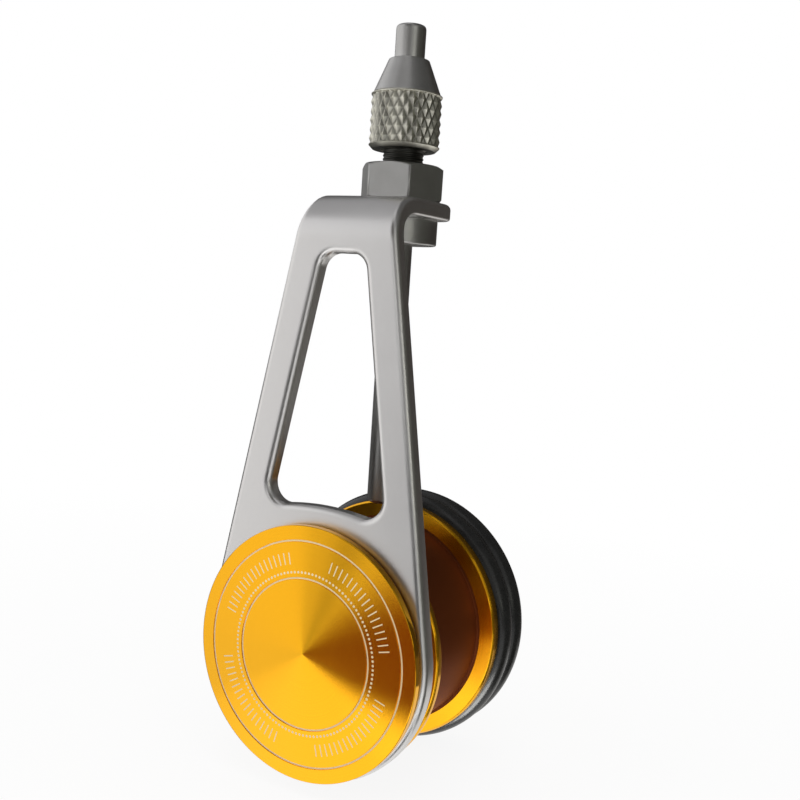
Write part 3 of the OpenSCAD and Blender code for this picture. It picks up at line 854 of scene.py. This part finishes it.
def on_nozzle(radius, along, angle):
    """Points about the nozzle's line, which starts on the tab's top face and leans forward with it."""
    across = radius * np.sin(angle)
    y = nozzle_y + across * math.cos(tab_lift) - along * math.sin(tab_lift)
    z = tab_z + across * math.sin(tab_lift) + along * math.cos(tab_lift)
    return np.stack([radius * np.cos(angle), y, z], axis=-1)


def thread(radius, along, angle):
    """Cuts a helix of triangles into the neck: the depth follows the height in pitches less the turn."""
    phase = (along / thread_pitch - angle / (2 * math.pi)) % 1
    cut = thread_depth * np.abs(2 * phase - 1)
    on_neck = (along > hex_h) & (along < grip_low) & (radius > tube_bore_fit_r + bore_margin)
    return np.where(on_neck, radius - cut, radius)


# Each half of the profile has a further corner at its cut ends, whose seven eased rows are then left out.
# The thread's own rows stand between the halves.
corner_rows = 7
sleeve_lower = eased([(tube_bore_fit_r, collar_low), (collar_r, collar_low), (collar_r, -plate_t),
                      (shank_r, -plate_t), (shank_r, hex_h), (neck_r, hex_h), (neck_r, grip_low)],
                     sleeve_lower_eases)[:-corner_rows]
sleeve_upper = eased([(neck_r, hex_h), (neck_r, grip_low), (shank_r, grip_low + neck_step),
                      (shank_r, sleeve_top), (tube_bore_fit_r, sleeve_top), (tube_bore_fit_r, collar_low)],
                     sleeve_upper_eases)[corner_rows:-corner_rows]
neck_rows = np.linspace(hex_h + neck_gap, grip_low - neck_gap, neck_row_count)
sleeve_neck = np.stack([np.full(neck_row_count, neck_r), neck_rows], axis=-1)
sleeve_profile = np.concatenate([sleeve_lower, sleeve_neck, sleeve_upper])
sleeve = turned("nozzle_sleeve", "frame", [sleeve_profile], on_nozzle, steps=144, relief=thread)
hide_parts("nozzle_body")

# Machined steel, for all the pieces about the nozzle's line: the thread between the two nuts is painted near
# black, a painted shade, and the knurl's points are painted pale and yellowish, a painted highlight, and its
# grooves dark, a painted shade.
machined_dark = (0.42, 0.415, 0.4, 1)
machined_pale = (0.56, 0.555, 0.54, 1)
machined_rough = (0.28, 0.42)
machined_turns = 7000
machined_clouds = 300
machined_strength = 0.15
machined_depth = 0.03
outside_gap = 0.2
# Painted shade: the thread between the two nuts is coloured near black.
thread_shade_colour = (0.11, 0.11, 0.1, 1)
# Painted highlight and painted shade: the knurl's points are coloured pale and yellowish, and its grooves
# dark.
knurl_highlight_colour = (0.76, 0.74, 0.64, 1)
groove_shade_colour = (0.1, 0.1, 0.09, 1)
groove_shade_strength = 0.6
point_height = 0.1
machined, machined_tree, machined_shader = new_material("machined steel", metallic=1.0)
machined_place = object_place(machined_tree)
machined_centre = add_node(machined_tree, "ShaderNodeMapping",
                           {"Vector": machined_place, "Location": (0, -nozzle_y * MM, -tab_z * MM)})
machined_axis = add_node(machined_tree, "ShaderNodeMapping",
                         {"Vector": machined_centre.outputs[0], "Rotation": (-tab_lift, 0, 0)}).outputs[0]
machined_marks = turning(machined_tree, machined_axis, machined_turns)
machined_radius = machined_marks["Radius"]
machined_along = add_node(machined_tree, "ShaderNodeSeparateXYZ", {0: machined_axis}).outputs["Z"]
machined_cloud = noise(machined_tree, machined_place, machined_clouds, detail=4.0)
outside = math_node(machined_tree, "GREATER_THAN", machined_radius, (tube_bore_fit_r + outside_gap) * MM)
on_thread = between(machined_tree, machined_along, hex_h, grip_low)
on_knurl = between(machined_tree, machined_along, grip_low, grip_top)
groove_low = (grip_r - knurl_depth) * MM
groove_high = (grip_r - point_height) * MM
# Painted shade: the deeper a place lies in a knurl groove, the darker it is coloured.
in_groove = mapped(machined_tree, machined_radius, groove_shade_strength, 0.0, groove_low, groove_high)
thread_shade_share = math_node(machined_tree, "MULTIPLY", on_thread, outside)
knurl_highlight_share = math_node(machined_tree, "MULTIPLY", on_knurl, outside)
groove_shade_share = math_node(machined_tree, "MULTIPLY", knurl_highlight_share, in_groove)
machined_colour = mixed(machined_tree, machined_cloud, machined_dark, machined_pale)
machined_thread_shaded = mixed(machined_tree, thread_shade_share, machined_colour, thread_shade_colour)
machined_knurl_lit = mixed(machined_tree, knurl_highlight_share, machined_thread_shaded, knurl_highlight_colour)
feed(machined_tree, machined_shader, {
    "Base Color": mixed(machined_tree, groove_shade_share, machined_knurl_lit, groove_shade_colour),
    "Roughness": mapped(machined_tree, machined_marks["Marks"], *machined_rough),
    "Normal": bump(machined_tree, machined_marks["Marks"], machined_strength, machined_depth * MM),
})
sleeve.data.materials.append(machined)


# The hexagon nut: a standard steel nut, chamfered at both ends, which clamps the sleeve to the tab.
# Its flats are cut from bar, so their edges are slightly soft.
hex_half = 5.0
hex_turn = math.radians(10)
hex_corner_r = hex_half * 2 / math.sqrt(3)
hex_slope = math.tan(math.radians(30))
hex_bore_r = 3.03
hex_mouth = 0.3
hex_guard = 0.05
chamfer_rows = 8


def hexagon(radius, along, angle):
    """Cuts a round bar to six flats: the radius is the flats' distance over the cosine of the angle
    from the middle of a flat."""
    flat_angle = (angle - hex_turn) % (math.pi / 3) - math.pi / 6
    flat_r = hex_half / np.cos(flat_angle)
    return np.where(radius > hex_bore_r + bore_margin, np.minimum(radius, flat_r), radius)


hex_chamfer_r = np.linspace(hex_half, hex_corner_r, chamfer_rows)
hex_rise = (hex_chamfer_r - hex_half) * hex_slope
hex_lower = np.stack([hex_chamfer_r, hex_rise], axis=-1)
hex_upper = np.stack([hex_chamfer_r, hex_h - hex_rise], axis=-1)[::-1]
hex_bore = np.array([(hex_bore_r, hex_h - hex_mouth), (hex_bore_r, hex_mouth)])
hex_mouth_r = hex_bore_r + hex_mouth
hex_mouth_top = np.array([(hex_half - hex_guard, hex_h), (hex_mouth_r + hex_guard, hex_h),
                          (hex_mouth_r, hex_h)])
hex_mouth_low = hex_mouth_top[::-1] * (1, 0)
hex_profile = np.concatenate([hex_lower, hex_upper, hex_mouth_top, hex_bore, hex_mouth_low])
nut = turned("hexagon_nut", "frame", [hex_profile], on_nozzle, steps=360, relief=hexagon)
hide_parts("hex_nut")
nut.data.materials.append(machined)


# The collet nut: turned steel with a diamond knurl for the fingers and a plain conical nose.
# It screws on the sleeve's thread and squeezes the collet inside it onto the line tube.
grip_edge = 0.5
nose_r = 2.7
nose_top = 18.55
collet_top = 17.95
shoulder_edge = 0.25
nut_bore_r = 3.03
cone_top_r = 2.44
nose_bore_r = 2.14
nut_lower_eases = [0.1, 0.05, 0.05, 0.05]
nut_upper_eases = [0.05, 0.05, 0.05, 0.12, 0.06, 0.04, 0.04, 0.1, 0.1]
knurl_count = 22
knurl_pitch = 2.35
knurl_margin = 0.1
knurl_top_margin = 0.02
knurl_fade = 0.12
knurl_skin = 0.01
knurl_row_count = 120
knurl_low = grip_low + grip_edge + knurl_margin
knurl_high = grip_top - shoulder_edge - knurl_top_margin


def knurl(radius, along, angle):
    """Presses two crossing families of helical grooves into the grip, which leave small pyramids."""
    turns = knurl_count * angle / (2 * math.pi)
    climb = along / knurl_pitch
    first = np.abs(2 * ((turns + climb) % 1) - 1)
    second = np.abs(2 * ((turns - climb) % 1) - 1)
    cut = knurl_depth * np.maximum(first, second)
    fade = np.clip(np.minimum(along - knurl_low, knurl_high - along) / knurl_fade, 0, 1)
    return np.where(radius > grip_r - knurl_skin, radius - cut * fade, radius)


# As on the sleeve, each half has a further corner at its cut ends, and the knurl's own rows stand between.
nut_lower = eased([(nut_bore_r, grip_low), (grip_r - grip_edge, grip_low), (grip_r, grip_low + grip_edge),
                   (grip_r, grip_top)], nut_lower_eases)[:-corner_rows]
nut_upper = eased([(grip_r, grip_low), (grip_r, grip_top - shoulder_edge), (grip_r - shoulder_edge, grip_top),
                   (nose_r, nose_top), (nose_bore_r, nose_top), (nose_bore_r, collet_top),
                   (cone_top_r, collet_top), (nut_bore_r, sleeve_top), (nut_bore_r, grip_low)],
                  nut_upper_eases)[corner_rows:-corner_rows]
knurl_rows = np.linspace(knurl_low - knurl_margin, knurl_high + knurl_margin, knurl_row_count)
nut_grip = np.stack([np.full(knurl_row_count, grip_r), knurl_rows], axis=-1)
nut_profile = np.concatenate([nut_lower, nut_grip, nut_upper])
collet_nut = turned("knurled_collet_nut", "collet_nut", [nut_profile], on_nozzle, steps=440, relief=knurl)
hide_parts("collet_nut")
collet_nut.data.materials.append(machined)


# The line tube: a straight drawn steel tube with eased ends, held in the collet.
# The line runs through it from the bobbin.
tube_r = 2.0
tube_bore_r = 1.2
tube_top = 23.0
tube_drum_gap = 3.2
tube_eases = [0.2, 0.55, 0.55, 0.2]
tube_low = (drum_r + tube_drum_gap - tab_z) / math.cos(tab_lift)
tube_corners = [(tube_bore_r, tube_low), (tube_r, tube_low), (tube_r, tube_top), (tube_bore_r, tube_top)]
tube_profile = eased(tube_corners, tube_eases, steps=8, guard=1.2)
tube = turned("line_tube_steel", "tube", [tube_profile], on_nozzle, steps=96)
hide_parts("line_tube")
tube.data.materials.append(machined)


# The drag springs: two coned steel discs, rim to rim, between the rear drag washer and the axle's head.
# They flatten as the knob draws the axle forward.
spring_t = 0.4
spring_cone = 0.3
spring_inner_r = 2.6
spring_outer_r = 5.0
spring_front = 25.76
spring_middle = 26.48
spring_ease = 0.06
front_spring = [(spring_inner_r, spring_front), (spring_outer_r, spring_front + spring_cone),
                (spring_outer_r, spring_front + spring_cone + spring_t),
                (spring_inner_r, spring_front + spring_t)]
rear_spring = [(spring_outer_r, spring_middle), (spring_inner_r, spring_middle + spring_cone),
               (spring_inner_r, spring_middle + spring_cone + spring_t),
               (spring_outer_r, spring_middle + spring_t)]
spring_profiles = [eased(front_spring, spring_ease), eased(rear_spring, spring_ease)]
springs = turned("drag_springs", "frame", spring_profiles, on_axle, steps=96)
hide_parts("disc_springs")
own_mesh(springs)

axle_dark = (0.5, 0.5, 0.5, 1)
axle_pale = (0.64, 0.64, 0.63, 1)
axle_rough = (0.22, 0.36)
axle_turns = 8000
axle_steel, axle_tree, axle_shader = new_material("turned axle steel", metallic=1.0)
axle_marks = turning(axle_tree, axle_place(axle_tree), axle_turns)["Marks"]
feed(axle_tree, axle_shader, {
    "Base Color": mixed(axle_tree, axle_marks, axle_dark, axle_pale),
    "Roughness": mapped(axle_tree, axle_marks, *axle_rough),
})
springs.data.materials.append(axle_steel)


# The pieces inside: a brass collet, a steel axle with its washer, key plate and pins, plastic bushes and slip
# washer, and drag washers of pressed fibre. They keep their solids' shapes, and little of them is seen.
def clouded(name, dark, pale, clouds, detail=2.0, **constants):
    """A plain material whose colour wanders between two shades in clouds, so many to the metre."""
    material, tree, shader = new_material(name, **constants)
    cloud = noise(tree, object_place(tree), clouds, detail)
    feed(tree, shader, {"Base Color": mixed(tree, cloud, dark, pale)})
    return material


brass = clouded("turned brass", (0.62, 0.43, 0.16, 1), (0.74, 0.55, 0.25, 1), clouds=900, metallic=1.0)
slip_plastic = clouded("slip plastic", (0.72, 0.69, 0.6, 1), (0.82, 0.8, 0.73, 1), clouds=1200,
                       roughness=0.45)
fibre = clouded("pressed fibre", (0.13, 0.07, 0.04, 1), (0.3, 0.18, 0.1, 1), clouds=2500, detail=5.0,
                roughness=0.8)
inner_finish = {
    "collet": brass,
    "axle": axle_steel,
    "rear_washer": axle_steel,
    "key_plate": axle_steel,
    "key_pins": axle_steel,
    "knob_washer": slip_plastic,
    "front_bush": slip_plastic,
    "rear_bush": slip_plastic,
    "front_drag_washer": fibre,
    "rear_drag_washer": fibre,
}
for node, finish in inner_finish.items():
    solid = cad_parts[node]
    solid.data.materials.clear()
    solid.data.materials.append(finish)
